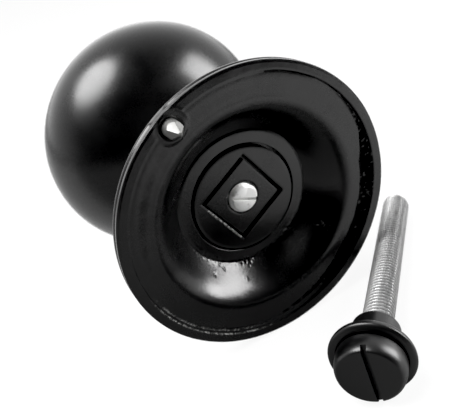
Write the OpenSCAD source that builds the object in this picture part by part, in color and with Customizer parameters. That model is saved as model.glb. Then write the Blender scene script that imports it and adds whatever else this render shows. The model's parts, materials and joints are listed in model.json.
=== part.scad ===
// Bolt-through centre door knob: a ball knob on a domed rose, with its loose fixing set.
// The knob axis lies along Y. The door is on the +Y side, and the ball points to -Y.
// The origin is the centre of the rose's bearing plane, and +Z is up on the door.
// The loose fixing rod, with its washer and slotted cap, lies beside the knob.

/* [Rose] */
// Diameter over the rim
rose_d = 75; // [73:0.5:80]
// Thickness of the flat plate at the rim
rim_t = 1.2; // [1:0.1:1.6]
// Width of the raised lip that bears on the door
lip_w = 2.5; // [2:0.1:3.4]
// Depth of the flat band inside the lip
band_depth = 0.9; // [0.5:0.1:1.1]
// Inner radius of the flat band, where the bowl begins
band_r = 25.8; // [25:0.1:26.6]
// Depth of the hub ring below the lip
hub_depth = 9.4; // [8.6:0.1:10.4]
// Outer radius of the hub ring
hub_r = 18; // [17.6:0.1:18.4]
// Thickness of the cast wall
wall_t = 2.6; // [2.2:0.1:3]

/* [Knob] */
// Diameter of the ball at its widest
ball_d = 75; // [72:0.5:80]
// Thickness of the ball along its axis
ball_t = 52; // [48:0.5:56]
// Distance from the bearing plane to the ball's widest plane
ball_reach = 71; // [68:0.2:74]
// Diameter at the waist of the neck
neck_d = 26; // [25:0.5:28]
// Diameter of the neck's shoulder against the rose
shoulder_d = 31; // [29:0.5:33]

/* [Square spigot] */
// Side of the square bar
spigot_side = 15.2; // [14.6:0.1:15.6]
// Length of the square bar
spigot_len = 38; // [34:0.5:40]
// Gap between the bar and the square holes it passes through
spigot_gap = 0.7; // [0.4:0.05:0.8]
// Turn of the square about the knob axis
spigot_turn = 29.7; // [0:0.1:90]

/* [Hub disc] */
// Radius of the disc set into the hub ring
disc_r = 14.5; // [14.2:0.1:14.8]
// Thickness of the disc
disc_t = 2.5; // [2:0.1:3]
// Depth of the disc's face below the hub ring
disc_sunk = 0.5; // [0.2:0.1:0.8]
// Radial gap around the disc
disc_gap = 0.4; // [0.3:0.05:0.5]

/* [Locating pin] */
// Diameter of the pin
pin_d = 4.2; // [3.8:0.1:4.6]
// Distance of the pin from the knob axis
pin_at_r = 33.8; // [33:0.1:34.2]
// Angle of the pin from straight up, towards +X
pin_turn = 27.7; // [0:0.1:90]
// Straight length of pin above the bearing plane
pin_stand = 2.2; // [1.6:0.1:3]
// Length of the pointed end
pin_point = 2.8; // [2:0.1:3.4]

/* [Centre stud] */
// Length of the slotted stud
stud_len = 16; // [14:0.5:18]
// Height of the stud above the spigot's face
stud_proud = 1.3; // [0.8:0.1:1.6]
// Turn of the screwdriver slot about the knob axis
stud_slot_turn = -26.5; // [-90:0.5:90]

/* [Fixing rod] */
// Diameter of the rod and of the stud, over the thread
rod_d = 8; // [8:1:8]
// Length of the rod
rod_len = 75.5; // [73:0.5:78]
// Length of rod held inside the cap's barrel
rod_held = 12; // [11:0.1:12.6]
// Radial clearance that stands for the thread
thread_gap = 0.05; // [0.03:0.01:0.08]

/* [Cap and washer] */
// Diameter of the cap's barrel
barrel_d = 12; // [11.4:0.1:12.4]
// Length of barrel that shows in front of the washer
barrel_len = 7.7; // [7.2:0.1:8.4]
// Diameter of the washer over its bead
washer_d = 20.6; // [20:0.1:21.6]
// Thickness of the washer
washer_t = 3.2; // [2.8:0.1:3.6]
// Diameter of the slotted cap
cap_d = 16.7; // [16.2:0.1:17.6]
// Height of the slotted cap above the washer
cap_h = 5.6; // [5:0.1:6]
// Radius of the cap's rounded front edge
cap_round = 1.4; // [1:0.1:2]
// Width of the cap's slot
cap_slot_w = 1.1; // [0.8:0.1:1.4]
// Depth of the cap's slot
cap_slot_deep = 1.5; // [1.2:0.1:1.8]
// Turn of the cap's slot about the rod
cap_slot_turn = -5.3; // [-90:0.1:90]

/* [Where the loose rod lies] */
// Place of the rod's tip along X
tip_x = -54.1; // [-58:0.1:-52]
// Place of the rod's tip along Y
tip_y = -19.1; // [-22:0.1:-17]
// Place of the rod's tip along Z
tip_z = -33.5; // [-34:0.1:-32]
// Heading of the tip in plan, from +X
rod_heading = 226; // [223:0.1:228]
// Angle by which the tip dips below level
rod_dip = 4.4; // [3:0.1:6]

/* [Hidden] */
$fn = 96;

eps = 0.5;                                        // overshoot of a cutting shape
rose_r = rose_d / 2;
edge_break = 0.3;                                 // small chamfer on cast edges
lip_r = rose_r - lip_w;                           // inner radius of the lip
lip_slope = 0.5;                                  // width of the sloped step inside the lip
groove_in = 0.6;                                  // how far the edge groove cuts in
groove_w = 0.4;                                   // width of the edge groove
bead_r = 0.9;                                     // bead behind the edge groove
bead_blend = 1.5;                                 // flat between the bead and the dome
bowl_mouth_r = band_r - 0.8;                      // radius where the bowl's wall begins
bowl_mouth_depth = band_depth + 0.7;
bowl_pull_r = hub_r + 4.6;                        // where the wall's two slopes would meet
bowl_pull_depth = hub_depth * 0.75;
bowl_r = hub_r + 1;                               // radius where the bowl reaches its floor
bowl_depth = hub_depth + 0.5;                     // depth of the bowl's floor
hub_flare = 0.6;                                  // slope at the root of the hub ring
core_r = 1;                                       // inside the square hole, which removes it
dome_foot_r = band_r + 1.8;                       // where the front dome meets the plate
recess_r = disc_r + disc_gap;                     // pocket for the hub disc
disc_face = hub_depth + disc_sunk;                // depth of the disc's rear face
recess_depth = disc_face + disc_t;                // depth of the pocket's floor
seat_t = 2;                                       // metal between the pocket and the front
hub_front = recess_depth + seat_t;                // depth of the rose's front seat
square_hole = spigot_side + 2 * spigot_gap;
shoulder_round = 2.2;                             // radius of the shoulder's rounded edge
shoulder_from = 50;                               // angle at which that rounding starts
neck_end_r = 16.5;                                // neck radius where it meets the ball
ball_a = ball_d / 2;
ball_b = ball_t / 2;
neck_end_angle = acos(neck_end_r / ball_a);       // ellipse angle of that meeting
neck_end_h = ball_reach - ball_b * sin(neck_end_angle);
pin_sunk = 2.4;                                   // length of pin held in the casting
pin_shank_r = 1.8;                                // thinner shank of the pin in the casting
pin_tip_r = 0.45;                                 // blunt end of the pin's point
boss_foot_r = 4.8;                                // low boss around the pin, at its foot
boss_top_r = 3.8;
boss_drop = 0.1;                                  // boss face below the bearing plane
pin_moat_r = 2.9;                                 // shallow recess around the pin
pin_moat_deep = 0.7;
stud_slot_w = 1.2;
stud_slot_deep = 1.6;
end_break = 0.6;                                  // chamfer on the ends of rod and stud
bore_r = rod_d / 2 + thread_gap;
spigot_bore = 35;                                 // depth of the spigot's tapped bore
relief_r = 3.4;                                   // thread relief inside the barrel's mouth
relief_len = 1;
barrel_all = barrel_len + washer_t;               // barrel from its mouth to the cap
barrel_mouth = rod_len - rod_held;                // distance from the rod's tip
cap_bore = rod_held + 0.4;                        // depth of the cap's tapped bore
barrel_neck_r = 5.7;                              // thinner barrel inside the washer
bead_wide = 2.2;                                  // width of the bead's rounded door side
bead_front = 0.6;                                 // rounding of the bead under the cap
washer_gap = 0.1;                                 // running clearance around the barrel

// Points of a smooth S-shaped curve from one point to another.
function ogee(from, to, steps = 14) = [
    for (i = [0:steps])
        let (t = i / steps)
        [
            from[0] + (to[0] - from[0]) * t,
            from[1] + (to[1] - from[1]) * (1 - cos(180 * t)) / 2
        ]
];

// Points of a curve from one point to another, pulled towards a third.
function pulled(from, pull, to, steps = 14) = [
    for (i = [0:steps])
        let (t = i / steps)
        from * pow(1 - t, 2) + pull * 2 * t * (1 - t) + to * pow(t, 2)
];

// Points of a circular or elliptic arc about a centre.
function arc(centre, rx, ry, a0, a1, steps = 10) = [
    for (i = [0:steps])
        let (a = a0 + (a1 - a0) * i / steps)
        [centre[0] + rx * cos(a), centre[1] + ry * sin(a)]
];

// Points of a waist that narrows smoothly to a given radius midway between two points.
function waisted(from, to, waist_r, steps = 18) = [
    for (i = [0:steps])
        let (t = 2 * i / steps - 1)
        let (end_r = t < 0 ? from[0] : to[0])
        [
            waist_r + (end_r - waist_r) * pow(abs(t), 2.4),
            from[1] + (to[1] - from[1]) * (t + 1) / 2
        ]
];

// Puts a shape drawn about +Z onto the knob axis: its +Z becomes the door side, +Y.
module on_knob_axis() {
    rotate([-90, 0, 0]) children();
}

// Puts a shape drawn about +Z onto the loose rod's axis, with z = 0 at the rod's tip.
module on_rod_axis() {
    translate([tip_x, tip_y, tip_z])
        rotate([0, 90 + rod_dip, rod_heading])
            children();
}

// Moves a shape to the place of the locating pin on the rose.
module at_pin() {
    rotate([0, 0, pin_turn - 90])
        translate([pin_at_r, 0, 0])
            children();
}

// A square bar or hole of a given side, from height z0 to z1.
module square_bar(side, z0, z1) {
    rotate([0, 0, spigot_turn])
        translate([-side / 2, -side / 2, z0])
            cube([side, side, z1 - z0]);
}

// A round rod with chamfered ends, from height z0 to z1.
module chamfered_rod(r, z0, z1, chamfer) {
    rotate_extrude()
        polygon([
            [0, z0],
            [r - chamfer, z0],
            [r, z0 + chamfer],
            [r, z1 - chamfer],
            [r - chamfer, z1],
            [0, z1]
        ]);
}

// Section of the cast rose: the rear face first, then the front face back to the rim.
function rose_section() = concat(
    [
        [rose_r, -edge_break],
        [rose_r - edge_break, 0],
        [lip_r, 0],
        [lip_r - lip_slope, -band_depth],
        [band_r, -band_depth]
    ],
    pulled(
        [bowl_mouth_r, -bowl_mouth_depth],
        [bowl_pull_r, -bowl_pull_depth],
        [bowl_r, -bowl_depth]
    ),
    [
        [hub_r + hub_flare, -bowl_depth],
        [hub_r, -hub_depth - edge_break],
        [hub_r - edge_break, -hub_depth],
        [recess_r, -hub_depth],
        [recess_r, -recess_depth],
        [core_r, -recess_depth],
        [core_r, -hub_front],
        [hub_r, -hub_front]
    ],
    ogee([bowl_r, -hub_front], [dome_foot_r, -band_depth - wall_t]),
    [[rose_r - bead_r - bead_blend, -rim_t - groove_w - 2 * bead_r]],
    arc([rose_r - bead_r, -rim_t - groove_w - bead_r], bead_r, bead_r, -90, 50, 8),
    [
        [rose_r - groove_in, -rim_t],
        [rose_r, -rim_t]
    ]
);

// Domed cast rose: rim plate, lip, band, deep rear bowl and hub ring.
module rose() {
    color([0.06, 0.06, 0.065])
        on_knob_axis()
            difference() {
                union() {
                    rotate_extrude()
                        polygon(rose_section());
                    intersection() {
                        at_pin()
                            translate([0, 0, -band_depth - eps])
                                cylinder(
                                    r1 = boss_foot_r,
                                    r2 = boss_top_r,
                                    h = band_depth + eps - boss_drop
                                );
                        translate([0, 0, -rim_t])
                            cylinder(r = rose_r - edge_break, h = rim_t);
                    }
                }
                square_bar(square_hole, -hub_front - eps, -recess_depth + eps);
                at_pin()
                    translate([0, 0, -pin_sunk])
                        cylinder(r = pin_shank_r, h = pin_sunk + eps);
                at_pin()
                    translate([0, 0, -pin_moat_deep])
                        cylinder(r = pin_moat_r, h = pin_moat_deep + eps);
            }
}

// Flattened ball, waisted neck and shoulder in one piece, socketed for the spigot.
module knob_ball() {
    round_r = shoulder_d / 2 - shoulder_round;        // centre of the shoulder's rounding
    round_h = hub_front + shoulder_round;
    section = concat(
        [
            [0, -hub_front],
            [round_r + shoulder_round * cos(shoulder_from), -hub_front]
        ],
        arc([round_r, -round_h], shoulder_round, shoulder_round, shoulder_from, -90, 8),
        waisted(
            [round_r - edge_break, -round_h - shoulder_round],
            [neck_end_r, -neck_end_h],
            neck_d / 2
        ),
        arc([0, -ball_reach], ball_a, -ball_b, -neck_end_angle + 1, 90, 44)
    );
    color([0.05, 0.05, 0.055])
        on_knob_axis()
            difference() {
                rotate_extrude()
                    polygon(section);
                square_bar(spigot_side, -disc_face - spigot_len, -hub_front + eps);
            }
}

// Square steel bar that keys knob, rose and disc together, tapped along its middle.
module square_spigot() {
    color([0.09, 0.09, 0.095])
        on_knob_axis()
            difference() {
                square_bar(spigot_side, -disc_face - spigot_len, -disc_face);
                translate([0, 0, -disc_face - spigot_bore])
                    cylinder(r = bore_r, h = spigot_bore + eps);
            }
}

// Round disc with a square hole, seated in the hub ring's pocket.
module hub_disc() {
    color([0.08, 0.08, 0.085])
        on_knob_axis()
            difference() {
                translate([0, 0, -recess_depth])
                    cylinder(r = disc_r, h = disc_t);
                square_bar(square_hole, -recess_depth - eps, -disc_face + eps);
            }
}

// Pointed steel pin that bites into the door and stops the rose turning.
module locating_pin() {
    pin_r = pin_d / 2;
    color([0.72, 0.72, 0.72])
        on_knob_axis()
            at_pin()
                rotate_extrude()
                    polygon([
                        [0, -pin_sunk],
                        [pin_shank_r, -pin_sunk],
                        [pin_shank_r, -pin_moat_deep],
                        [pin_r, -pin_moat_deep],
                        [pin_r, pin_stand],
                        [pin_tip_r, pin_stand + pin_point],
                        [0, pin_stand + pin_point]
                    ]);
}

// Slotted stud screwed into the spigot's tapped bore.
module centre_stud() {
    color([0.78, 0.78, 0.78])
        on_knob_axis()
            translate([0, 0, -disc_face + stud_proud])
                difference() {
                    chamfered_rod(rod_d / 2, -stud_len, 0, end_break);
                    rotate([0, 0, stud_slot_turn])
                        translate([-rod_d, -stud_slot_w / 2, -stud_slot_deep])
                            cube([2 * rod_d, stud_slot_w, stud_slot_deep + eps]);
                }
}

// Threaded rod that passes through the door; its plain surface is the thread's crest.
// A short relief inside the barrel's mouth parts the held thread from the free thread.
module fixing_rod() {
    color([0.8, 0.8, 0.8])
        on_rod_axis()
            difference() {
                chamfered_rod(rod_d / 2, -rod_len, 0, end_break);
                translate([0, 0, -barrel_mouth - relief_len])
                    difference() {
                        cylinder(r = rod_d, h = relief_len);
                        translate([0, 0, -eps])
                            cylinder(r = relief_r, h = relief_len + 2 * eps);
                    }
            }
}

// Bead-edged washer that carries the cap against the door.
module cap_washer() {
    washer_r = washer_d / 2;
    bead_h = -barrel_len - washer_t + bead_front;
    section = concat(
        [[barrel_d / 2 + washer_gap, -barrel_len]],
        arc([washer_r - bead_wide, bead_h], bead_wide, washer_t - bead_front, 90, 0, 10),
        arc([washer_r - bead_front, bead_h], bead_front, bead_front, -15, -90, 5),
        [[barrel_d / 2 + washer_gap, -barrel_len - washer_t]]
    );
    color([0.05, 0.05, 0.055])
        on_rod_axis()
            translate([0, 0, -barrel_mouth])
                rotate_extrude()
                    polygon(section);
}

// Slotted cap with a tapped barrel, screwed onto the rod through the washer.
module slotted_cap() {
    barrel_r = barrel_d / 2;
    cap_r = cap_d / 2;
    under_round = 0.8;
    cap_top = barrel_all + cap_h;
    section = concat(
        [
            [0, 0],
            [barrel_r - edge_break, 0],
            [barrel_r, -edge_break],
            [barrel_r, -barrel_len],
            [barrel_neck_r, -barrel_len],
            [barrel_neck_r, -barrel_all]
        ],
        arc([cap_r - under_round, -barrel_all - under_round], under_round, under_round, 90, 0, 5),
        arc([cap_r - cap_round, -cap_top + cap_round], cap_round, cap_round, 0, -90, 8),
        [[0, -cap_top]]
    );
    color([0.06, 0.06, 0.065])
        on_rod_axis()
            translate([0, 0, -barrel_mouth])
                difference() {
                    rotate_extrude()
                        polygon(section);
                    translate([0, 0, -cap_bore])
                        cylinder(r = bore_r, h = cap_bore + eps);
                    rotate([0, 0, cap_slot_turn])
                        translate([-cap_d, -cap_slot_w / 2, -cap_top - eps])
                            cube([2 * cap_d, cap_slot_w, cap_slot_deep + eps]);
                }
}

rose();
knob_ball();
square_spigot();
hub_disc();
locating_pin();
centre_stud();
fixing_rod();
cap_washer();
slotted_cap();
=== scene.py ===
"""Looks of a bolt-through centre door knob, built around its CAD frame.

The knob axis is Y. The rose's back faces +Y, the ball points to -Y, and +Z is up.
Sizes are in millimetres and are turned into metres when a mesh is made.
"""

import json
import math
import random

import bmesh
import bpy
import numpy as np
from mathutils import Matrix, Vector, noise


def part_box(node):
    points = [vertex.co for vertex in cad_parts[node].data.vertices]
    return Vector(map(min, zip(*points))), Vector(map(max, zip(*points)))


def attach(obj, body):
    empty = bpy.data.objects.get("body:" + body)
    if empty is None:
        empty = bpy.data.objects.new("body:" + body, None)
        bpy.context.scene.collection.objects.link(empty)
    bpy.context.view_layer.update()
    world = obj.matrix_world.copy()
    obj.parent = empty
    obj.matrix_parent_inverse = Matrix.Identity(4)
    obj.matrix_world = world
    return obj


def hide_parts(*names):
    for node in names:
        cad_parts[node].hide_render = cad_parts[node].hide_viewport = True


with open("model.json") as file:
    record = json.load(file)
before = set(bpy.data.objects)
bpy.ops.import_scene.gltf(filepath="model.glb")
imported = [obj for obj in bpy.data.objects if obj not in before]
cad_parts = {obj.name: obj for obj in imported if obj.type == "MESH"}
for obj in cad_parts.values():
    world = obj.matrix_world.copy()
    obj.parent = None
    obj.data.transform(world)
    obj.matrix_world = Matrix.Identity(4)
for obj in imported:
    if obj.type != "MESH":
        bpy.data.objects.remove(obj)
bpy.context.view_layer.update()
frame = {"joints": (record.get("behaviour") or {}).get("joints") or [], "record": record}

MM = 0.001
POLE = 0.1                      # radius of the closed tip of a turned shape


# ---------------------------------------------------------------- sizes from the frame

def mounts():
    """The record's mounts by name."""
    return {m["name"]: m for m in frame["record"]["mounts"]}


def joints():
    """The frame's joints by name."""
    return {j["name"]: j for j in frame["joints"]}


def high(node, axis):
    """Highest coordinate of a CAD node along an axis, in mm."""
    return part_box(node)[1][axis] / MM


def low(node, axis):
    """Lowest coordinate of a CAD node along an axis, in mm."""
    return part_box(node)[0][axis] / MM


ROSE_R = high("rose", 0)
BALL_R = high("knob_ball", 0)
BALL_END = low("knob_ball", 1)
DISC_FACE = high("hub_disc", 1)
DISC_FLOOR = low("hub_disc", 1)
DISC_R = high("hub_disc", 0)
HUB_FRONT = low("rose", 1)
SPIGOT_END = low("square_spigot", 1)
STUD_FACE = high("centre_stud", 1)
STUD_END = low("centre_stud", 1)
PIN = mounts()["locating_pin"]
PIN_R = PIN["dims"]["r_mm"]
ROD_R = mounts()["rod_tip"]["dims"]["r_mm"]
BARREL_R = mounts()["cap_barrel"]["dims"]["r_mm"]

# ---------------------------------------------------------------- sizes of the looks

SPOKES = 720                    # points round the rose
RIM_T = 1.2                     # thickness of the rose's edge
BAND_R = 25.8                   # where the bowl and the band would meet if not rounded
MOUTH_R = 28.8                  # radius where that rounding starts
BAND_DEPTH = 0.9                # depth of the flat band below the lip
BOWL_R = 18.7                   # radius where the bowl reaches its floor
BOWL_DEPTH = 9.6
HUB_R = 18.0                    # outer radius of the hub ring
HUB_DEPTH = 9.4                 # depth of the hub ring's face
RECESS_R = DISC_R + 0.5         # radius of the disc's pocket
WALL_T = 2.6                    # thickness of the rose's wall
LIP_R = 35.0                    # inner edge of the lip

SPIGOT_HALF = 7.6               # half the width of the square bar
SPIGOT_TURN = 29.7              # turn of the square about the knob axis
SPIGOT_ROOM = 11.0              # radius of the rose's hole, which clears the square's corners
SPIGOT_SPOKES = 480              # points round the square bar and its socket
SPIGOT_BORE = 35.0              # depth of the tapped bore
SPIGOT_CORNER = 0.35            # rounding of the square's corners
HOLE_GAP = 0.85                 # gap between the bar and the disc's square hole
HOLE_CLOSER = 0.3               # how much closer one side of that hole stands
HOLE_CORNER = 0.3

THREAD_PITCH = 1.25
THREAD_DEPTH = 0.767

BARREL_LEN = 7.7                # length of the barrel in front of the washer
WASHER_T = 3.2
BEAD_FRONT = (1.9, 0.9)         # rounding of the washer's bead under the cap, across and along
WASHER_R = 10.3
CAP_R = 8.35
CAP_H = 5.6
CAP_ROUND = (1.4, 3.2)          # across and along the cap
CAP_SLOT_TURN = -8.0
CAP_SLOT = (1.3, 1.5)           # width and depth
CAP_SLOT_ASIDE = -0.7           # how far the slot misses the middle of the cap
STUD_SLOT_TURN = -26.5
STUD_SLOT = (1.0, 1.0)          # width and depth

# ---------------------------------------------------------------- frames

KNOB_FRAME = Matrix(((1, 0, 0, 0), (0, 0, 1, 0), (0, -1, 0, 0), (0, 0, 0, 1)))


def rod_frame():
    """Local +Z runs out of the rod's tip and z = 0 is at the barrel's mouth."""
    turn = joints()["cap_turn"]
    out = -Vector(turn["axis"]).normalized()
    side = Vector((0, 0, 1)).cross(out).normalized()
    ahead = out.cross(side)
    mouth = Vector(turn["pos_m"]) / MM
    return Matrix((
        (-ahead.x, side.x, out.x, mouth.x),
        (-ahead.y, side.y, out.y, mouth.y),
        (-ahead.z, side.z, out.z, mouth.z),
        (0, 0, 0, 1),
    ))


ROD_FRAME = rod_frame()
ROD_TIP = mounts()["rod_tip"]["dims"]["length_mm"] + 0.6
ROD_END = -12.0                 # the rod's other end, inside the cap


# ---------------------------------------------------------------- mesh tools

def smooth(t):
    """A smooth ramp from 0 to 1 as t goes from 0 to 1."""
    t = np.clip(t, 0, 1)
    return t * t * (3 - 2 * t)


def rounded(points, steps=4):
    """An outline of (radius, height) from points of (radius, height, rounding)."""
    out = []
    for i, (r, z, fillet) in enumerate(points):
        here = np.array((r, z), float)
        if fillet == 0 or i in (0, len(points) - 1):
            out.append(here)
            continue
        back = np.array(points[i - 1][:2], float) - here
        on = np.array(points[i + 1][:2], float) - here
        reach = min(fillet, np.linalg.norm(back) / 2, np.linalg.norm(on) / 2)
        a = here + back / np.linalg.norm(back) * reach
        b = here + on / np.linalg.norm(on) * reach
        for t in np.linspace(0, 1, steps + 1):
            out.append(a * (1 - t) ** 2 + 2 * here * t * (1 - t) + b * t * t)
    return np.array(out)


def ogee(start, end, steps=24):
    """Points of a smooth S-shaped curve, as (radius, height, 0)."""
    points = []
    for t in np.linspace(0, 1, steps + 1):
        rise = (1 - math.cos(math.pi * t)) / 2
        r = start[0] + (end[0] - start[0]) * t
        points.append((r, start[1] + (end[1] - start[1]) * rise, 0))
    return points


def curve(start, pull, push, end, steps=36):
    """Points of a cubic curve with two guide points, as (radius, height, 0)."""
    points = []
    for t in np.linspace(0, 1, steps + 1):
        u = 1 - t
        share = np.array((u**3, 3 * u * u * t, 3 * u * t * t, t**3))
        r, z = share @ np.array((start, pull, push, end))
        points.append((r, z, 0))
    return points


def arc(centre, rx, rz, start, end, steps=12):
    """Points of an arc about a centre, as (radius, height, 0)."""
    points = []
    for a in np.radians(np.linspace(start, end, steps + 1)):
        points.append((centre[0] + rx * math.cos(a), centre[1] + rz * math.sin(a), 0))
    return points


def dense(outline, step):
    """The same outline with no gap longer than step."""
    out = [outline[0]]
    for a, b in zip(outline[:-1], outline[1:]):
        count = max(1, math.ceil(np.linalg.norm(b - a) / step))
        for t in np.linspace(0, 1, count + 1)[1:]:
            out.append(a + (b - a) * t)
    return np.array(out)


def spoke_angles(spokes):
    """Angles of the spokes, in radians."""
    return np.linspace(0, 2 * np.pi, spokes, endpoint=False)


def turned(outline, spokes):
    """Radius and height of every ring and spoke of a turned shape."""
    radii = np.repeat(outline[:, :1], spokes, axis=1)
    heights = np.repeat(outline[:, 1:], spokes, axis=1)
    return radii, heights


def skin(name, radii, heights, place, loop=False):
    """A mesh object from rings and spokes about local +Z. A loop joins last ring to first."""
    rings, spokes = radii.shape
    angle = spoke_angles(spokes)[None, :]
    x = radii * np.cos(angle)
    y = radii * np.sin(angle)
    local = np.stack([x, y, heights], axis=-1).reshape(-1, 3)
    grid = np.arange(rings * spokes).reshape(rings, spokes)
    lower = grid if loop else grid[:-1]
    upper = np.roll(grid, -1, axis=0) if loop else grid[1:]
    quads = np.stack(
        [lower, np.roll(lower, -1, axis=1), np.roll(upper, -1, axis=1), upper], axis=-1
    )
    faces = quads.reshape(-1, 4).tolist()
    if not loop:
        faces.append(grid[0][::-1].tolist())
        faces.append(grid[-1].tolist())
    matrix = np.array(place)
    world = (local @ matrix[:3, :3].T + matrix[:3, 3]) * MM
    mesh = bpy.data.meshes.new(name)
    mesh.from_pydata(world.tolist(), [], faces)
    tidy_normals(mesh)
    obj = bpy.data.objects.new(name, mesh)
    bpy.context.scene.collection.objects.link(obj)
    return obj


def tidy_normals(mesh):
    """Points every face outwards and shades it smooth, with sharp edges kept sharp."""
    bm = bmesh.new()
    bm.from_mesh(mesh)
    bmesh.ops.recalc_face_normals(bm, faces=bm.faces)
    bm.to_mesh(mesh)
    bm.free()
    mesh.shade_smooth()
    mesh.set_sharp_from_angle(angle=math.radians(48))


def cut_slot(obj, place, turn, size, top, reach, aside=0.0):
    """Cuts a straight slot across the end of a turned piece, a little aside if asked."""
    width, deep = size
    bm = bmesh.new()
    bmesh.ops.create_cube(bm, size=1)
    shape = Matrix.Diagonal((2 * reach, width, 2 * deep, 1))
    at = place @ Matrix.Rotation(math.radians(turn), 4, "Z")
    at = at @ Matrix.Translation((0, aside, top))
    bm.transform(Matrix.Scale(MM, 4) @ at @ shape)
    mesh = bpy.data.meshes.new("slot_cutter")
    bm.to_mesh(mesh)
    bm.free()
    cutter = bpy.data.objects.new("slot_cutter", mesh)
    bpy.context.scene.collection.objects.link(cutter)
    modifier = obj.modifiers.new("slot", "BOOLEAN")
    modifier.object = cutter
    modifier.operation = "DIFFERENCE"
    modifier.solver = "EXACT"
    apply_modifiers(obj)
    bpy.data.objects.remove(cutter)
    weld(obj.data)
    tidy_normals(obj.data)


def weld(mesh):
    """Joins points that a cut has left on top of each other."""
    bm = bmesh.new()
    bm.from_mesh(mesh)
    bmesh.ops.remove_doubles(bm, verts=bm.verts, dist=0.0005 * MM)
    bmesh.ops.dissolve_degenerate(bm, edges=bm.edges, dist=0.0005 * MM)
    bm.to_mesh(mesh)
    bm.free()


def apply_modifiers(obj):
    """Bakes an object's modifiers into its mesh."""
    graph = bpy.context.evaluated_depsgraph_get()
    mesh = bpy.data.meshes.new_from_object(obj.evaluated_get(graph))
    obj.modifiers.clear()
    obj.data = mesh


def finish_piece(obj, body, node, material):
    """Gives a piece its material and lets it stand for its CAD node."""
    obj.data.materials.clear()
    obj.data.materials.append(material)
    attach(obj, body)
    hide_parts(node)


def set_painted_light_and_dull(obj, values):
    """Stores each point's value for the material's painted light and dull places. On lacquer a
    value above 0 is a painted highlight, and a value below 0 takes the gloss away, painting
    shade in the lip's groove and making the ragged step dark; on steel a value above 0 is
    painted shade.
    """
    layer = obj.data.attributes.new("painted_light_and_dull", "FLOAT", "POINT")
    layer.data.foreach_set("value", np.asarray(values, np.float32).ravel())


# ---------------------------------------------------------------- rose

# How the step inside the lip varies, clockwise from the top of the rose's back.
STEP_CLOCK = (0, 45, 75, 92, 140, 160, 185, 225, 252, 300, 360)
STEP_FOOT = (34.6, 34.5, 33.6, 31.2, 31.0, 32.2, 33.4, 33.6, 34.4, 34.6, 34.6)
STEP_DROP = (0.12, 0.45, 0.9, 1.9, 2.1, 1.5, 0.9, 0.6, 0.25, 0.1, 0.12)
STEP_RAGGED = (0, 0.1, 0.6, 1, 0.9, 0.4, 0.1, 0.1, 0.1, 0, 0)

BLEMISH_SEED = 5

# Casting blemishes on the rose's back: X, Z, spread, count and height.
BLEMISHES = (
    (4.2, -18.0, 1.5, 16, 0.34),
    (-18.9, -15.5, 1.5, 14, 0.34),
    (14.6, -15.4, 0.5, 3, -0.22),
    (7.1, -20.3, 0.5, 3, -0.22),
    (11.5, -15.9, 1.0, 5, -0.2),
    (0.0, -17.4, 2.4, 8, 0.12),
    (-7.0, -16.4, 2.8, 8, 0.1),
)


def clock_angle(spokes):
    """Each spoke's angle in degrees, clockwise from the top as the back is looked at."""
    return (-90 - np.degrees(spoke_angles(spokes))) % 360


def rose_outline():
    """Outline of the rose from its pocket, over the back and the rim, to the front seat."""
    bead_r = 0.9
    bead_z = -RIM_T - 0.4 - bead_r
    points = [
        (RECESS_R, DISC_FLOOR, 0),
        (RECESS_R, -HUB_DEPTH, 0.18),
        (HUB_R, -HUB_DEPTH, 0.35),
    ]
    lower_guide = (21.9, -6.5)
    upper_guide = (BAND_R - 1.0, -BAND_DEPTH)
    mouth = (MOUTH_R, -BAND_DEPTH)
    points += curve((BOWL_R, -BOWL_DEPTH), lower_guide, upper_guide, mouth)
    points += [
        (LIP_R, -BAND_DEPTH, 0),
        (LIP_R + 0.01, -BAND_DEPTH, 0),
        (ROSE_R, 0, 0.35),
        (ROSE_R, -RIM_T, 0.18),
        (ROSE_R - 0.6, -RIM_T - 0.05, 0.1),
    ]
    points += arc((ROSE_R - bead_r, bead_z), bead_r, bead_r, 50, -90)
    points += [(ROSE_R - 2.4, bead_z - bead_r, 0.5)]
    points += ogee((BAND_R + 1.8, -BAND_DEPTH - WALL_T), (HUB_R + 1, HUB_FRONT))
    points += [(SPIGOT_ROOM, HUB_FRONT, 0), (SPIGOT_ROOM, DISC_FLOOR, 0)]
    return rounded(points)


def lip_height(radii, clock):
    """Height of the flat band, the ragged step and the lip, from radius and clock angle."""
    foot = np.interp(clock, STEP_CLOCK, STEP_FOOT)
    drop = np.interp(clock, STEP_CLOCK, STEP_DROP)
    ragged = np.interp(clock, STEP_CLOCK, STEP_RAGGED)
    band = np.minimum(drop, BAND_DEPTH)
    share = (LIP_R - radii) / (LIP_R - foot)
    terraced = 0.5 * smooth(share / 0.3) + 0.5 * smooth((share - 0.7) / 0.3)
    sloped = np.clip(share, 0, 1)
    fall = drop * (terraced * (1 - ragged) + sloped * ragged)
    back = smooth((share - 1) * (LIP_R - foot) / 0.35)
    fall = fall + (band - drop) * back
    inner = smooth((radii - MOUTH_R) / 5)
    return -(fall * inner + BAND_DEPTH * (1 - inner))


def speckle(x, z, rng):
    """Heights added by the casting blemishes at points of the rose's back."""
    total = np.zeros_like(x)
    for cx, cz, spread, count, height in BLEMISHES:
        for _ in range(count):
            px = cx + rng.gauss(0, spread / 2)
            pz = cz + rng.gauss(0, spread / 2)
            size = rng.uniform(0.16, 0.36)
            sign = height * rng.uniform(0.3, 1) * (1 if rng.random() < 0.75 else -0.8)
            total += sign * np.exp(-((x - px) ** 2 + (z - pz) ** 2) / size**2)
    return total


def field_noise(points, size, seed):
    """Smooth noise from -1 to 1 at points in mm, with features of the given size."""
    shift = Vector((seed * 7.3, seed * 3.1, seed * 5.7))
    scale = 1 / size
    return np.array([noise.noise(Vector(p) * scale + shift) for p in points])


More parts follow.
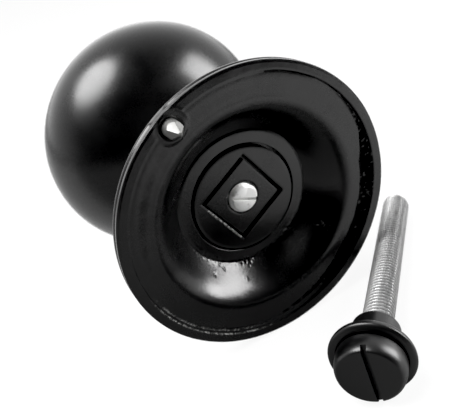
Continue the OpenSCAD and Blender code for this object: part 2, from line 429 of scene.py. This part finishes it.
def pin_boss(x, z):
    """Shares of the low boss, of its moat and of its half collar around the locating pin."""
    px, pz = PIN["pos_m"][0] / MM, PIN["pos_m"][2] / MM
    away = np.hypot(x - px, z - pz)
    boss = smooth((4.4 - away) / 0.8)
    moat = smooth((2.9 - away) / 0.5)
    side = (0.6 * (z - pz) - 0.8 * (x - px)) / np.maximum(away, 1e-6)
    collar = np.exp(-((away - 4.4) / 0.3) ** 2) * smooth(side / 0.5)
    return boss, moat, collar


def back_and_lip(radii, heights):
    """Which points lie on the rose's back, and which of them on its band and lip."""
    outward = np.gradient(radii[:, 0])[:, None] > 0
    back = (heights > -BOWL_DEPTH - 0.2) & (radii > HUB_R - 0.5) & outward
    lip = back & (radii > MOUTH_R) & (radii < ROSE_R - 0.5)
    return back, lip


def step_marks(radii, clock, fine, wide):
    """Heights added by the ragged step and the line inside the lip, and where they are dull.
    The dull line is painted shade in the lip's groove; the dull ragged step is dark in patches.
    """
    ragged = np.interp(clock, STEP_CLOCK, STEP_RAGGED)
    foot = np.interp(clock, STEP_CLOCK, STEP_FOOT)
    in_step = smooth((radii - foot + 0.5) / 0.5) * smooth((LIP_R + 0.2 - radii) / 0.4)
    line = np.exp(-((radii - LIP_R + 0.25 - 0.12 * wide) / 0.2) ** 2)
    line = line * smooth((clock - 2) / 25) * smooth((100 - clock) / 20)
    added = in_step * ragged * (0.1 * fine + 0.3 * wide) - 0.28 * line
    # dull: painted shade along the lip's groove line, and dark dull patches on the ragged step
    dull = np.maximum(line, in_step * smooth(ragged * 1.6) * (fine < 0.5))
    return added, dull


def casting_marks(x, z, clock, fine, wide, broad):
    """Heights added by the casting's skin, its blemishes and the rough edge of the hub."""
    casting = 0.012 * fine + 0.03 * wide + 0.07 * broad
    hub_edge = np.exp(-((np.hypot(x, z) - HUB_R - 0.4) / 0.9) ** 2)
    hub_edge = hub_edge * smooth((clock - 120) / 30) * smooth((265 - clock) / 30)
    bumps = speckle(x, z, random.Random(BLEMISH_SEED)) + 0.14 * hub_edge * (fine + wide)
    return casting + bumps


def lip_edge_highlights(radii, clock, fine):
    """Painted highlights, broken up by noise, on the two edges of the lip, low on one side."""
    edge = np.exp(-((radii - LIP_R) / 0.16) ** 2) + np.exp(-((radii - LIP_R + 1) / 0.14) ** 2)
    edge = edge * smooth((clock - 185) / 15) * smooth((258 - clock) / 15)
    return edge * (0.35 + 0.65 * (fine > 0))


def build_rose(material):
    """The cast rose, with its uneven lip, pin boss, hub ring and casting marks."""
    radii, heights = turned(dense(rose_outline(), 0.3), SPOKES)
    angle = spoke_angles(SPOKES)[None, :]
    clock = clock_angle(SPOKES)[None, :] + 0 * radii
    x = radii * np.cos(angle)
    z = -radii * np.sin(angle)
    back, lip = back_and_lip(radii, heights)
    heights = np.where(lip, lip_height(radii, clock), heights)
    flat = np.stack([x, z, heights], axis=-1).reshape(-1, 3)
    fine = field_noise(flat, 0.7, 1).reshape(radii.shape)
    wide = field_noise(flat, 3.5, 2).reshape(radii.shape)
    broad = field_noise(flat, 11.0, 3).reshape(radii.shape)
    added, dull = step_marks(radii, clock, fine, wide)
    added = added + casting_marks(x, z, clock, fine, wide, broad)
    heights = heights + np.where(back, added, 0)
    boss, moat, collar = pin_boss(x, z)
    near_top = lip | (back & (radii >= ROSE_R - 0.5))
    boss_face = -0.12 * boss + heights * (1 - boss) - 0.4 * moat + 0.16 * collar
    heights = np.where(near_top, boss_face, heights)
    obj = skin("cast_rose", radii, heights, KNOB_FRAME, loop=True)
    # The lip's edges get painted highlights. Taking the gloss away gives the lip's groove
    # painted shade and the ragged step dark dull patches.
    set_painted_light_and_dull(obj, lip_edge_highlights(radii, clock, fine) * near_top - dull * lip)
    finish_piece(obj, "knob", "rose", material)
    return obj


# ---------------------------------------------------------------- ball and neck

def ball_outline():
    """Outline of the ball, its waisted neck and the shoulder against the rose."""
    ball_t = 52.0
    ball_z = BALL_END + ball_t / 2
    neck_r = 16.5
    waist_r = 13.0
    shoulder_r = 15.5
    end_angle = math.degrees(math.acos(neck_r / BALL_R))
    neck_z = ball_z + ball_t / 2 * math.sin(math.radians(end_angle))
    points = [(shoulder_r - 0.8, HUB_FRONT, 0)]
    points += arc((shoulder_r - 2.2, HUB_FRONT - 2.2), 2.2, 2.2, 50, -90)
    top_z = HUB_FRONT - 4.4
    for t in np.linspace(-1, 1, 31):
        end_r = shoulder_r - 2.4 if t < 0 else neck_r
        r = waist_r + (end_r - waist_r) * abs(t) ** 2.4
        points.append((r, top_z + (neck_z - top_z) * (t + 1) / 2, 0))
    points += arc((0, ball_z), BALL_R, ball_t / 2, end_angle - 1, -89.9, 110)
    return rounded(points)


def build_ball(material):
    """The flattened ball with its neck and the square socket for the spigot."""
    radii, heights = turned(ball_outline(), SPIGOT_SPOKES)
    socket = square_radius(spoke_angles(SPIGOT_SPOKES), SPIGOT_HALF + 0.02, SPIGOT_CORNER)
    floor = SPIGOT_END - 0.05
    bottom = np.full(SPIGOT_SPOKES, floor)
    middle = np.full(SPIGOT_SPOKES, POLE)
    radii = np.vstack([middle, socket, socket, radii])
    heights = np.vstack([bottom, bottom, bottom - floor + HUB_FRONT, heights])
    obj = skin("lacquered_ball", radii, heights, KNOB_FRAME)
    set_painted_light_and_dull(obj, np.zeros(radii.size))
    finish_piece(obj, "knob", "knob_ball", material)
    return obj


# ---------------------------------------------------------------- square spigot and disc

def square_radius(angle, half, corner, closer=0.0):
    """Radius of a square with rounded corners at an angle. Its first side may be closer."""
    turn = math.radians(SPIGOT_TURN)
    u = np.cos(angle - turn)
    v = np.sin(angle - turn)
    power = max(8.0, half / corner * 2.2)
    sides = np.abs(u) ** power + np.abs(v) ** power
    radius = half / sides ** (1 / power)
    first_side = (half - closer) / np.maximum(1e-3, u)
    return np.minimum(radius, first_side)


def build_spigot(material):
    """The square bar with softened edges and a tapped bore."""
    angle = spoke_angles(SPIGOT_SPOKES)
    bore = ROD_R + 0.05
    levels = [
        (SPIGOT_END, 0.3, 0),
        (SPIGOT_END + 0.3, 0, 0),
        (DISC_FACE - 0.25, 0, 0),
        (DISC_FACE - 0.07, 0.06, 0),
        (DISC_FACE, 0.25, 0),
        (DISC_FACE, 0.6, 0),
        (DISC_FACE, 0, bore + 0.9),
        (DISC_FACE, 0, bore + 0.35),
        (DISC_FACE - 0.35, 0, bore),
        (DISC_FACE - SPIGOT_BORE, 0, bore),
        (DISC_FACE - SPIGOT_BORE, 0, POLE),
    ]
    radii = [np.full(angle.shape, POLE)]
    heights = [np.full(angle.shape, SPIGOT_END)]
    for z, inset, round_r in levels:
        square = square_radius(angle, SPIGOT_HALF - inset, SPIGOT_CORNER)
        radii.append(np.full(angle.shape, round_r) if round_r else square)
        heights.append(np.full(angle.shape, z))
    obj = skin("spigot_bar", np.array(radii), np.array(heights), KNOB_FRAME)
    set_painted_light_and_dull(obj, np.zeros(len(obj.data.vertices)))
    finish_piece(obj, "knob", "square_spigot", material)
    return obj


def shifted_circle(angle, radius, shift):
    """Radius at an angle of a circle whose centre is shifted down and towards -X."""
    along = shift * np.cos(angle - math.radians(120))
    return along + np.sqrt(radius**2 - shift**2 + along**2)


def build_disc(material):
    """The disc in the hub ring, a little off centre, with a square hole."""
    angle = spoke_angles(SPOKES)
    hole_half = SPIGOT_HALF + HOLE_GAP
    loose = 0.15                # how much smaller the disc is than its pocket allows
    shift = 0.6                 # how far the disc sits from the middle of its pocket
    levels = [
        (DISC_FLOOR, "hole", 0),
        (DISC_FACE - 0.2, "hole", 0),
        (DISC_FACE - 0.05, "hole", 0.05),
        (DISC_FACE, "hole", 0.2),
        (DISC_FACE, "hole", 0.7),
        (DISC_FACE, "rim", 1.0),
        (DISC_FACE, "rim", 0.3),
        (DISC_FACE - 0.07, "rim", 0.08),
        (DISC_FACE - 0.3, "rim", 0),
        (DISC_FLOOR, "rim", 0),
    ]
    radii = []
    heights = []
    for z, edge, inset in levels:
        hole = square_radius(angle, hole_half + inset, HOLE_CORNER, HOLE_CLOSER)
        rim = shifted_circle(angle, DISC_R - loose - inset, shift)
        radii.append(hole if edge == "hole" else rim)
        heights.append(np.full(angle.shape, z))
    radii = np.array(radii)
    heights = np.array(heights)
    lean = 0.1 + 0.4 * radii / DISC_R * np.cos(angle - math.radians(125))
    heights = heights + lean * (heights > DISC_FACE - 1)
    obj = skin("hub_plate", radii, heights, KNOB_FRAME, loop=True)
    # Painted highlight along one side of the square hole's upper edge.
    highlight_side = np.cos(angle - math.radians(SPIGOT_TURN + 4)) > 0.78
    painted_light_and_dull = np.zeros(radii.shape)
    painted_light_and_dull[2:4] = 0.8 * highlight_side
    set_painted_light_and_dull(obj, painted_light_and_dull)
    finish_piece(obj, "knob", "hub_disc", material)
    return obj


# ---------------------------------------------------------------- locating pin

def build_pin(material):
    """The pointed pin, with the flats left by filing its point."""
    spokes = 240
    angle = spoke_angles(spokes)[None, :]
    stand = high("locating_pin", 1)
    start = 0.4
    levels = np.concatenate([
        np.linspace(-0.7, start, 8),
        np.linspace(start, stand, 26)[1:],
    ])[:, None]
    share = np.clip((levels - start) / (stand - start), 0, 1)
    flats = 5
    half_turn = np.pi / flats
    local = (angle + 0.5) % (2 * half_turn) - half_turn
    flat_r = (PIN_R * 1.3 * (1 - share) + 0.3) / np.cos(local)
    radii = np.minimum(PIN_R, flat_r)
    heights = levels + 0 * angle
    first = np.full((1, spokes), POLE)
    radii = np.concatenate([first, radii, first])
    heights = np.concatenate([heights[:1], heights, heights[-1:]])
    at = Vector(PIN["pos_m"]) / MM
    place = Matrix.Translation((at.x, 0, at.z)) @ KNOB_FRAME
    obj = skin("filed_pin", radii, heights, place)
    set_painted_light_and_dull(obj, np.zeros(radii.size))
    finish_piece(obj, "knob", "locating_pin", material)
    return obj


# ---------------------------------------------------------------- threads

def threaded(low_z, high_z, radius, spokes):
    """Rings and spokes of a rod with a helical thread and tapered ends."""
    step = THREAD_PITCH / 12
    count = int((high_z - low_z) / step)
    levels = np.linspace(low_z, high_z, count + 1)[:, None]
    angle = spoke_angles(spokes)[None, :]
    phase = (levels / THREAD_PITCH - angle / (2 * np.pi)) % 1
    depth = THREAD_DEPTH * (0.5 - 0.5 * np.cos(2 * np.pi * phase)) ** 0.8
    ends = np.minimum(levels - low_z, high_z - levels)
    chamfer = radius - 0.75 + ends
    radii = np.minimum(radius - depth, chamfer)
    heights = levels + 0 * angle
    first = np.full((1, spokes), POLE)
    radii = np.concatenate([first, radii, first])
    heights = np.concatenate([heights[:1], heights, heights[-1:]])
    return radii, heights


def thread_shade(radii):
    """How deep each point of a thread lies, from 0 at its crest to 1 at its root."""
    return np.clip((ROD_R - radii) / THREAD_DEPTH, 0, 1)


def build_stud(material):
    """The slotted stud in the middle of the spigot."""
    radii, heights = threaded(STUD_END, STUD_FACE, ROD_R, 160)
    obj = skin("slotted_stud", radii, heights, KNOB_FRAME)
    cut_slot(obj, KNOB_FRAME, STUD_SLOT_TURN, STUD_SLOT, STUD_FACE, ROD_R + 1)
    # Painted shade on one half of the slot's floor.
    floor = (STUD_FACE - STUD_SLOT[1]) * MM
    shaded_slot_floor = [v.co.x < 0 and abs(v.co.y - floor) < 0.05 * MM for v in obj.data.vertices]
    set_painted_light_and_dull(obj, 0.7 * np.array(shaded_slot_floor))
    finish_piece(obj, "stud", "centre_stud", material)
    return obj


def build_rod(material):
    """The long threaded rod."""
    radii, heights = threaded(ROD_END, ROD_TIP, ROD_R, 112)
    obj = skin("threaded_rod", radii, heights, ROD_FRAME)
    # Painted shade in the thread's roots, darker the deeper a point lies.
    set_painted_light_and_dull(obj, thread_shade(radii))
    finish_piece(obj, "rod", "fixing_rod", material)
    return obj


# ---------------------------------------------------------------- washer and cap

def build_washer(material):
    """The bead-edged washer."""
    bore = BARREL_R + 0.1
    door_side = -BARREL_LEN
    cap_side = door_side - WASHER_T
    across, along = BEAD_FRONT
    widest = cap_side + along
    points = [(bore, door_side, 0), (bore + 0.2, door_side, 0)]
    points += arc((WASHER_R - 2.2, widest), 2.2, door_side - widest, 88, 0, 24)
    points += arc((WASHER_R - across, widest), across, along, -8, -88, 16)
    points += [(WASHER_R - across - 0.2, cap_side + 0.12, 0.1), (bore, cap_side + 0.12, 0)]
    outline = dense(rounded(points), 0.5)
    radii, heights = turned(outline, 256)
    obj = skin("bead_washer", radii, heights, ROD_FRAME, loop=True)
    set_painted_light_and_dull(obj, np.zeros(radii.size))
    finish_piece(obj, "washer", "cap_washer", material)
    return obj


def cap_outline():
    """Outline of the cap and its barrel, from the bore round to the slotted face."""
    bore = ROD_R + 0.06
    under = -BARREL_LEN - WASHER_T
    top = under - CAP_H
    points = [
        (POLE, -12.4, 0),
        (bore, -12.4, 0),
        (bore, -0.4, 0),
        (bore + 0.4, 0, 0.1),
        (BARREL_R, 0, 0.45),
        (BARREL_R, -BARREL_LEN, 0),
        (BARREL_R - 0.3, -BARREL_LEN - 0.05, 0),
        (BARREL_R - 0.3, under, 0),
        (CAP_R - 0.8, under, 0),
    ]
    points += arc((CAP_R - 0.8, under - 0.8), 0.8, 0.8, 90, 0, 8)
    wide, tall = CAP_ROUND
    points += arc((CAP_R - wide, top + tall), wide, tall, 0, -90, 24)
    points += [(POLE, top, 0)]
    return rounded(points)


def build_cap(material):
    """The slotted cap with its barrel."""
    radii, heights = turned(dense(cap_outline(), 0.6), 256)
    obj = skin("slotted_head", radii, heights, ROD_FRAME)
    top = -BARREL_LEN - WASHER_T - CAP_H
    cut_slot(obj, ROD_FRAME, CAP_SLOT_TURN, CAP_SLOT, top, CAP_R + 1, CAP_SLOT_ASIDE)
    set_painted_light_and_dull(obj, np.zeros(len(obj.data.vertices)))
    finish_piece(obj, "cap", "slotted_cap", material)
    return obj


# ---------------------------------------------------------------- materials

class Nodes:
    """A short way to add and join shader nodes."""

    def __init__(self, name):
        self.material = bpy.data.materials.new(name)
        self.material.use_nodes = True
        self.tree = self.material.node_tree
        self.tree.nodes.clear()

    def add(self, kind, **inputs):
        """Adds a node and sets or joins its inputs, with _ for a space in a name."""
        made = self.tree.nodes.new("ShaderNode" + kind)
        for key, value in inputs.items():
            self.put(made, key, value)
        return made

    def put(self, made, key, value):
        """Sets an input to a value, or joins it to an output."""
        key = int(key[1:]) if key[1:].isdigit() and key[0] == "i" else key.replace("_", " ")
        socket = made.inputs[key]
        if isinstance(value, bpy.types.NodeSocket):
            self.tree.links.new(value, socket)
        else:
            socket.default_value = value

    def math(self, operation, a, b=0.0):
        """A maths node's output."""
        made = self.add("Math", i0=a, i1=b)
        made.operation = operation
        return made.outputs[0]

    def ramp(self, value, low_at, high_at, low_out=0.0, high_out=1.0):
        """Maps a value smoothly from one range to another."""
        made = self.add("MapRange", Value=value)
        made.interpolation_type = "SMOOTHSTEP"
        made.inputs["From Min"].default_value = low_at
        made.inputs["From Max"].default_value = high_at
        made.inputs["To Min"].default_value = low_out
        made.inputs["To Max"].default_value = high_out
        return made.outputs[0]

    def place(self):
        """Object coordinates in mm."""
        made = self.add("Mapping", Vector=self.add("TexCoord").outputs["Object"])
        made.inputs["Scale"].default_value = (1 / MM, 1 / MM, 1 / MM)
        return made.outputs[0]

    def noise(self, size, detail=3.0, rough=0.5, where=None):
        """Noise with features of a size in mm."""
        made = self.add("TexNoise", Vector=where or self.place(), Scale=1 / size)
        made.inputs["Detail"].default_value = detail
        made.inputs["Roughness"].default_value = rough
        return made.outputs["Fac"]

    def specks(self, spacing, size, share):
        """Small round specks: spacing and size in mm, share of cells that hold one."""
        made = self.add("TexVoronoi", Vector=self.place(), Scale=1 / spacing)
        near = self.ramp(made.outputs["Distance"], size / spacing, 0.6 * size / spacing)
        chosen = self.math("LESS_THAN", self.brightness(made.outputs["Color"]), share)
        return self.math("MULTIPLY", near, chosen)

    def brightness(self, colour):
        """First channel of a colour."""
        return self.add("SeparateColor", Color=colour).outputs[0]

    def bump(self, height, distance, strength=1.0, normal=None):
        """A bump normal from a height, with its depth in mm."""
        made = self.add("Bump", Height=height, Distance=distance * MM, Strength=strength)
        if normal is not None:
            self.put(made, "Normal", normal)
        return made.outputs[0]

    def mix(self, share, a, b):
        """A colour mix."""
        made = self.tree.nodes.new("ShaderNodeMix")
        made.data_type = "RGBA"
        self.join(share, made.inputs[0])
        self.join(a, made.inputs[6])
        self.join(b, made.inputs[7])
        return made.outputs[2]

    def join(self, value, socket):
        """Joins an output to a socket, or sets the socket's value."""
        if isinstance(value, bpy.types.NodeSocket):
            self.tree.links.new(value, socket)
        else:
            socket.default_value = value

    def surface(self, shader):
        """Makes a shader the material's surface and returns the material."""
        out = self.add("OutputMaterial")
        self.tree.links.new(shader.outputs[0], out.inputs[0])
        return self.material


def lacquer(name, rough, peel, grain, specks=0.0):
    """Black lacquer: orange peel, fine grain, cloudy sheen, dust, painted highlights, and dull
    places with the gloss taken away.
    """
    n = Nodes(name)
    peel_wave = n.noise(1.6, 2.0)
    fine = n.noise(0.25, 4.0, 0.6)
    clouds = n.noise(14.0, 3.0)
    light_and_dull_at = n.add("Attribute")
    light_and_dull_at.attribute_name = "painted_light_and_dull"
    painted_light_and_dull = light_and_dull_at.outputs["Fac"]
    # Above 0 the attribute paints a light grey highlight, broken up by noise.
    painted_highlight = n.math("MAXIMUM", painted_light_and_dull, 0.0)
    broken_highlight = n.math("MULTIPLY", painted_highlight, n.ramp(n.noise(0.5), 0.4, 0.6))
    # Below 0 it takes the gloss away: painted shade in the lip's groove, and dark dull patches
    # on the ragged step.
    gloss = n.ramp(painted_light_and_dull, -1.0, -0.2, 0.04, 0.5)
    dust = n.specks(3.1, 0.13, 0.06 * specks)
    tone = n.mix(clouds, (0.0006, 0.0006, 0.0007, 1), (0.0016, 0.0016, 0.0017, 1))
    tone = n.mix(broken_highlight, tone, (0.35, 0.35, 0.34, 1))
    tone = n.mix(dust, tone, (0.7, 0.7, 0.68, 1))
    sheen = n.ramp(clouds, 0.3, 0.75, rough - 0.03, rough + 0.05)
    sheen = n.math("ADD", sheen, n.ramp(fine, 0.3, 0.7, -0.02, 0.03))
    sheen = n.math("ADD", sheen, n.math("MULTIPLY", dust, 0.4))
    shape = n.bump(peel_wave, peel)
    shape = n.bump(fine, grain, 1.0, shape)
    shader = n.add(
        "BsdfPrincipled", Base_Color=tone, Roughness=sheen, Normal=shape, IOR=1.5
    )
    n.put(shader, "Specular_IOR_Level", gloss)
    return n.surface(shader)


def bright_steel(name, rough, colour, streak, metal=1.0):
    """Bright plated steel: cloudy roughness, fine streaks and pits, painted shade in the thread
    roots and the slot.
    """
    n = Nodes(name)
    clouds = n.noise(3.0, 3.0)
    stretched = n.add("Mapping", Vector=n.place())
    stretched.inputs["Scale"].default_value = (1.0, 1.0, 7.0)
    lines = n.noise(0.5, 4.0, 0.6, stretched.outputs[0])
    stain = n.ramp(n.noise(1.1, 4.0, 0.65), 0.56, 0.72)
    dull = tuple(0.62 * c for c in colour) + (1,)
    tone = n.mix(stain, tuple(colour) + (1,), dull)
    # Painted shade: the attribute darkens the colour towards black.
    painted_shade_at = n.add("Attribute")
    painted_shade_at.attribute_name = "painted_light_and_dull"
    painted_shade = n.ramp(painted_shade_at.outputs["Fac"], 0.25, 0.95)
    tone = n.mix(n.math("MULTIPLY", painted_shade, 0.85), tone, (0.02, 0.02, 0.02, 1))
    sheen = n.ramp(clouds, 0.3, 0.7, rough - 0.06, rough + 0.1)
    shape = n.bump(lines, streak)
    shape = n.bump(n.noise(0.16, 2.0), 0.006, 1.0, shape)
    shader = n.add(
        "BsdfPrincipled", Base_Color=tone, Metallic=metal, Roughness=sheen, Normal=shape
    )
    return n.surface(shader)


# ---------------------------------------------------------------- studio

ROOM_DARK_SIDE = (8, 22)        # azimuth and elevation of the photographer
# How bright the room is, from the side away from the photographer to the photographer.
ROOM_STOPS = ((0.0, 2.3), (0.42, 1.2), (0.6, 0.7), (0.76, 0.02), (1.0, 0.01))


def floor_material():
    """A pale sheet: plain white to the camera. To other rays its colour holds a painted shadow
    near the knob and painted shade that fades it out towards the photographer.
    """
    n = Nodes("pale_sheet")
    place = n.add("SeparateXYZ", Vector=n.place()).outputs
    reach = n.math("SUBTRACT", place[1], n.math("MULTIPLY", place[0], -0.25))
    # Painted shade: the sheet's colour fades to black towards the photographer.
    painted_falloff = n.ramp(reach, 240.0, 110.0)
    grain = n.noise(0.8, 3.0)
    # Painted shadow: the sheet is darker close to the knob.
    near = n.ramp(place[0], 10.0, -50.0, 0.2, 0.5)
    near = n.math("MULTIPLY", near, n.ramp(place[1], 20.0, 80.0, 0.7, 1.0))
    near = n.math("MAXIMUM", near, n.ramp(place[1], -20.0, -60.0, 0.0, 0.42))
    tone = n.math("MULTIPLY", painted_falloff, near)
    sheet = n.add("BsdfDiffuse", Color=tone, Normal=n.bump(grain, 0.02))
    glow = n.add("Emission", Color=(1, 1, 1, 1), Strength=1.02)
    bright = n.add("BsdfDiffuse", Color=(0.6, 0.6, 0.6, 1))
    seen = n.add("MixShader", Fac=0.12)
    n.tree.links.new(glow.outputs[0], seen.inputs[1])
    n.tree.links.new(bright.outputs[0], seen.inputs[2])
    both = n.add("MixShader", Fac=n.add("LightPath").outputs["Is Camera Ray"])
    n.tree.links.new(sheet.outputs[0], both.inputs[1])
    n.tree.links.new(seen.outputs[0], both.inputs[2])
    return n.surface(both)


def build_floor():
    """A large flat floor under the lowest point of the knob."""
    floor_z = -ROSE_R
    size = 4000
    bm = bmesh.new()
    bmesh.ops.create_grid(bm, x_segments=8, y_segments=8, size=size / 2 * MM)
    mesh = bpy.data.meshes.new("floor")
    bm.to_mesh(mesh)
    bm.free()
    obj = bpy.data.objects.new("floor", mesh)
    obj.location = (0, 0, (floor_z - 0.02) * MM)
    bpy.context.scene.collection.objects.link(obj)
    mesh.materials.append(floor_material())
    return obj


def direction(azimuth, elevation):
    """A unit vector: azimuth is from +Y towards +X, in degrees."""
    a, e = math.radians(azimuth), math.radians(elevation)
    return Vector((math.sin(a) * math.cos(e), math.cos(a) * math.cos(e), math.sin(e)))


def softbox(name, azimuth, elevation, width, height, radiance, shape="RECTANGLE"):
    """A rectangular or elliptical soft light that faces the knob. Sizes are in mm."""
    distance = 600
    target = Vector((0, -30, 0))
    data = bpy.data.lights.new(name, "AREA")
    data.shape = shape
    data.size = width * MM
    data.size_y = height * MM
    data.energy = radiance * math.pi * width * height * MM * MM
    obj = bpy.data.objects.new(name, data)
    aim = direction(azimuth, elevation)
    obj.location = (target + aim * distance) * MM
    obj.rotation_mode = "QUATERNION"
    obj.rotation_quaternion = aim.to_track_quat("Z", "Y")
    bpy.context.scene.collection.objects.link(obj)
    return obj


def room_shade(tree):
    """A colour output, bright behind the knob and dark towards the photographer."""
    coords = tree.nodes.new("ShaderNodeTexCoord")
    toward = tree.nodes.new("ShaderNodeVectorMath")
    toward.operation = "DOT_PRODUCT"
    toward.inputs[1].default_value = direction(*ROOM_DARK_SIDE)
    tree.links.new(coords.outputs["Generated"], toward.inputs[0])
    half = tree.nodes.new("ShaderNodeMath")
    half.operation = "MULTIPLY_ADD"
    half.inputs[1].default_value = 0.5
    half.inputs[2].default_value = 0.5
    tree.links.new(toward.outputs["Value"], half.inputs[0])
    shade = tree.nodes.new("ShaderNodeValToRGB")
    ramp = shade.color_ramp
    ramp.elements.remove(ramp.elements[1])
    for i, (at, value) in enumerate(ROOM_STOPS):
        element = ramp.elements[0] if i == 0 else ramp.elements.new(at)
        element.position = at
        element.color = (value, value, value, 1)
    tree.links.new(half.outputs[0], shade.inputs[0])
    return shade.outputs[0]


def build_world():
    """White surroundings that darken towards the photographer, and white to the camera."""
    world = bpy.data.worlds.new("studio")
    world.use_nodes = True
    bpy.context.scene.world = world
    tree = world.node_tree
    tree.nodes.clear()
    around = tree.nodes.new("ShaderNodeBackground")
    tree.links.new(room_shade(tree), around.inputs[0])
    plain = tree.nodes.new("ShaderNodeBackground")
    plain.inputs[0].default_value = (1, 1, 1, 1)
    plain.inputs[1].default_value = 1.02
    path = tree.nodes.new("ShaderNodeLightPath")
    both = tree.nodes.new("ShaderNodeMixShader")
    out = tree.nodes.new("ShaderNodeOutputWorld")
    tree.links.new(path.outputs["Is Camera Ray"], both.inputs[0])
    tree.links.new(around.outputs[0], both.inputs[1])
    tree.links.new(plain.outputs[0], both.inputs[2])
    tree.links.new(both.outputs[0], out.inputs[0])


def build_camera():
    """The camera, above and behind the rose's back, rolled a little."""
    place = Vector((53.33, 127.89, 82.50))
    ahead = Vector((-0.28985, -0.81518, -0.50147))
    roll = 16.386
    data = bpy.data.cameras.new("camera")
    data.sensor_width = 36.0
    data.lens = 50.53
    data.shift_x = -0.002
    data.shift_y = 0.0035
    data.clip_start = 0.005
    data.clip_end = 20.0
    obj = bpy.data.objects.new("camera", data)
    obj.location = place * MM
    obj.rotation_mode = "QUATERNION"
    level = ahead.to_track_quat("-Z", "Y")
    spin = Matrix.Rotation(math.radians(-roll), 3, "Z").to_quaternion()
    obj.rotation_quaternion = level @ spin
    bpy.context.scene.collection.objects.link(obj)
    focus = bpy.data.objects.new("focus", None)
    focus.location = (0, 15 * MM, 0)
    bpy.context.scene.collection.objects.link(focus)
    data.dof.use_dof = True
    data.dof.focus_object = focus
    data.dof.aperture_fstop = 34.0
    bpy.context.scene.camera = obj


def develop():
    """Plain colours, with the deepest shadows taken down to black."""
    settings = bpy.context.scene.view_settings
    settings.view_transform = "Standard"
    settings.use_curve_mapping = True
    settings.curve_mapping.black_level = (0.005, 0.005, 0.005)
    settings.curve_mapping.update()


def build_studio():
    """Floor, surroundings, lights and camera."""
    build_floor()
    build_world()
    softbox("overhead_softbox", 92, 62, 440, 440, 13.0, "ELLIPSE")
    softbox("side_softbox", -67, 20, 270, 420, 17.0)
    build_camera()
    develop()


# ---------------------------------------------------------------- the whole object

def build_knob():
    """All the pieces of the knob and its loose fixing set."""
    rose_paint = lacquer("rose_lacquer", 0.245, 0.010, 0.004, 1.0)
    ball_paint = lacquer("ball_lacquer", 0.265, 0.004, 0.002, 0.1)
    spigot_paint = lacquer("spigot_lacquer", 0.25, 0.008, 0.004, 0.8)
    cap_paint = lacquer("cap_lacquer", 0.33, 0.004, 0.002, 0.3)
    zinc = bright_steel("zinc_plate", 0.5, (0.97, 0.97, 0.96), 0.01, 0.3)
    dull_zinc = bright_steel("dull_zinc_plate", 0.5, (0.4, 0.4, 0.4), 0.006, 0.85)
    filed = bright_steel("filed_steel", 0.5, (0.2, 0.2, 0.195), 0.02, 0.85)
    build_rose(rose_paint)
    build_ball(ball_paint)
    build_spigot(spigot_paint)
    build_disc(rose_paint)
    build_pin(filed)
    build_stud(zinc)
    build_rod(dull_zinc)
    build_washer(cap_paint)
    build_cap(cap_paint)


build_knob()
build_studio()
